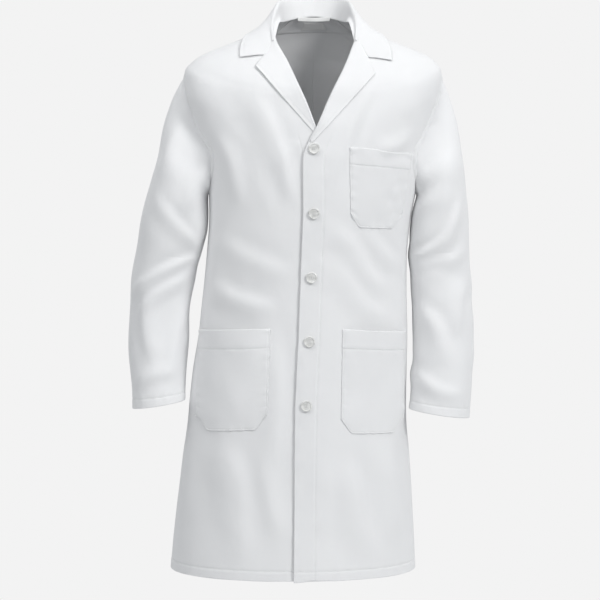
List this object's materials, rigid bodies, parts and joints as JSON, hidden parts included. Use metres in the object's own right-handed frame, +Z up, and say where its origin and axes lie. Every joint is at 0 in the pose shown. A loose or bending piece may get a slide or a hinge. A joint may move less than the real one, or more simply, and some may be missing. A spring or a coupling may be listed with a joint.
{
  "type": "lab coat",
  "caption": "Knee-length white lab coat with notched lapel collar, button front, set-in sleeves and patch pockets, in its worn shape.",
  "frame": {"origin": "the hanger loop inside the back of the neck, at the height of the back neck seam", "axes": "+Z up, +X towards the wearer's left, -Y out of the buttoned front"},
  "size_m": [0.6445, 0.3144, 1.0734],
  "materials": {
    "cloth": "matte",
    "label": "satin",
    "button": "gloss",
    "thread": "matte"
  },
  "bodies": {
    "coat": {"back_left": "cloth", "back_right": "cloth", "front_left": "cloth", "front_right": "cloth", "facing_left": "cloth", "facing_right": "cloth", "hem_back": "cloth", "hem_left": "cloth", "hem_right": "cloth", "lapel_left": "cloth", "lapel_right": "cloth", "collar_leaf": "cloth", "collar_stand": "cloth", "neck_facing": "cloth", "neck_label": "label", "hanger_loop": "cloth", "sleeve_head_left": "cloth", "sleeve_head_right": "cloth", "chest_pocket": "cloth", "chest_pocket_hem": "cloth", "pocket_left": "cloth", "pocket_left_hem": "cloth", "pocket_right": "cloth", "pocket_right_hem": "cloth"},
    "left_upper_sleeve": {"sleeve_left_upper": "cloth"},
    "left_lower_sleeve": {"sleeve_left_lower": "cloth", "cuff_left": "cloth"},
    "right_upper_sleeve": {"sleeve_right_upper": "cloth"},
    "right_lower_sleeve": {"sleeve_right_lower": "cloth", "cuff_right": "cloth"},
    "left_corner": {"front_left_corner": "cloth", "facing_left_corner": "cloth", "hem_left_corner": "cloth"},
    "right_corner": {"front_right_corner": "cloth", "facing_right_corner": "cloth", "hem_right_corner": "cloth"},
    "button_body_1": {"button_1": "button", "thread_1": "thread"},
    "button_body_2": {"button_2": "button", "thread_2": "thread"},
    "button_body_3": {"button_3": "button", "thread_3": "thread"},
    "button_body_4": {"button_4": "button", "thread_4": "thread"},
    "button_body_5": {"button_5": "button", "thread_5": "thread"}
  },
  "joints": [
    {"name": "left_shoulder_raise", "type": "hinge", "parent": "coat", "child": "left_upper_sleeve", "pos_m": [0.215, 0, -0.162], "axis": [0, -1, 0], "range_deg": [0, 35]},
    {"name": "right_shoulder_raise", "type": "hinge", "parent": "coat", "child": "right_upper_sleeve", "pos_m": [-0.215, 0, -0.162], "axis": [0, 1, 0], "range_deg": [0, 35]},
    {"name": "left_elbow_bend", "type": "hinge", "parent": "left_upper_sleeve", "child": "left_lower_sleeve", "pos_m": [0.2385, 0.007, -0.465], "axis": [-1, 0, 0], "range_deg": [0, 40]},
    {"name": "right_elbow_bend", "type": "hinge", "parent": "right_upper_sleeve", "child": "right_lower_sleeve", "pos_m": [-0.2815, 0.007, -0.48], "axis": [-1, 0, 0], "range_deg": [0, 40]},
    {"name": "left_corner_fold", "type": "hinge", "parent": "coat", "child": "left_corner", "pos_m": [0.05772, -0.13752, -0.8985], "axis": [-0.515, -0.1222, 0.8484], "range_deg": [0, 35], "stiffness_Nm_per_rad": 0.02, "springref_deg": -22.92},
    {"name": "right_corner_fold", "type": "hinge", "parent": "coat", "child": "right_corner", "pos_m": [-0.08842, -0.12682, -0.8985], "axis": [0.5188, -0.0214, 0.8546], "range_deg": [0, 20], "stiffness_Nm_per_rad": 0.02, "springref_deg": -22.92},
    {"name": "button_1_turn", "type": "hinge", "parent": "coat", "child": "button_body_1", "pos_m": [-0.00096, -0.13538, -0.25758], "axis": [0, -0.9973, 0.0737], "range_deg": [-30, 30]},
    {"name": "button_2_turn", "type": "hinge", "parent": "coat", "child": "button_body_2", "pos_m": [-0.00105, -0.13526, -0.37404], "axis": [0, -0.9991, -0.0427], "range_deg": [-30, 30]},
    {"name": "button_3_turn", "type": "hinge", "parent": "coat", "child": "button_body_3", "pos_m": [-0.00539, -0.13168, -0.48963], "axis": [0, -1, -0.007], "range_deg": [-30, 30]},
    {"name": "button_4_turn", "type": "hinge", "parent": "coat", "child": "button_body_4", "pos_m": [-0.00947, -0.13467, -0.60514], "axis": [0, -0.999, 0.0458], "range_deg": [-30, 30]},
    {"name": "button_5_turn", "type": "hinge", "parent": "coat", "child": "button_body_5", "pos_m": [-0.01478, -0.14103, -0.72089], "axis": [0, -0.9985, 0.0543], "range_deg": [-30, 30]}
  ]
}
